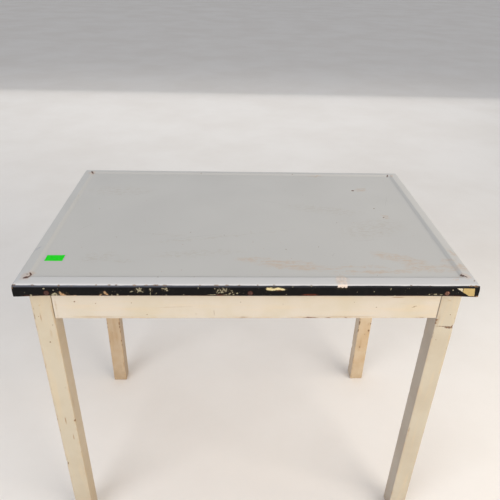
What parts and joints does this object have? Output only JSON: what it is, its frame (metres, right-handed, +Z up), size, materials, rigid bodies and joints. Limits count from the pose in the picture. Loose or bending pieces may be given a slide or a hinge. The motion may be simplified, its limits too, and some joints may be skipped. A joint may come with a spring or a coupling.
{
  "type": "enamel-topped work table",
  "caption": "Free-standing rectangular work table: white enamelled steel top with a raised rim and black skirt on a cream-painted wooden underframe with straight square legs.",
  "frame": {"origin": "on the floor, under the middle of the top", "axes": "+X along the long side to the right, +Y from the front edge to the back edge, +Z up"},
  "size_m": [0.9176, 0.6036, 0.762],
  "materials": {
    "enamel": "worn glossy vitreous enamel on steel, white with a black skirt, chipped at the corners",
    "cream_paint": "softwood in old satin cream oil paint, chipped on the arrises",
    "bare_wood": "unfinished aged softwood",
    "rusty_steel": "rusted screw head",
    "dull_steel": "dull oxidised screw",
    "green_paper": "smooth coated paper sticker, blank"
  },
  "bodies": {
    "root": {"enamel_top": "enamel", "core_board": "bare_wood", "batten_front": "bare_wood", "batten_right": "bare_wood", "batten_back": "bare_wood", "batten_left": "bare_wood", "centre_bearer": "bare_wood", "leg_front_left": "cream_paint", "leg_front_right": "cream_paint", "leg_back_left": "cream_paint", "leg_back_right": "cream_paint", "rail_front": "cream_paint", "rail_right": "cream_paint", "rail_back": "cream_paint", "rail_left": "cream_paint", "corner_block_front_left": "bare_wood", "corner_block_front_right": "bare_wood", "corner_block_back_left": "bare_wood", "corner_block_back_right": "bare_wood", "skirt_screws_front": "rusty_steel", "skirt_screws_right": "rusty_steel", "skirt_screws_back": "rusty_steel", "skirt_screws_left": "rusty_steel", "batten_screws_front": "dull_steel", "batten_screws_right": "dull_steel", "batten_screws_back": "dull_steel", "batten_screws_left": "dull_steel", "bearer_screws": "dull_steel", "pocket_screws_front": "dull_steel", "pocket_screws_right": "dull_steel", "pocket_screws_back": "dull_steel", "pocket_screws_left": "dull_steel", "corner_screws_front_left": "dull_steel", "corner_screws_front_right": "dull_steel", "corner_screws_back_left": "dull_steel", "corner_screws_back_right": "dull_steel"}
  },
  "joints": []
}
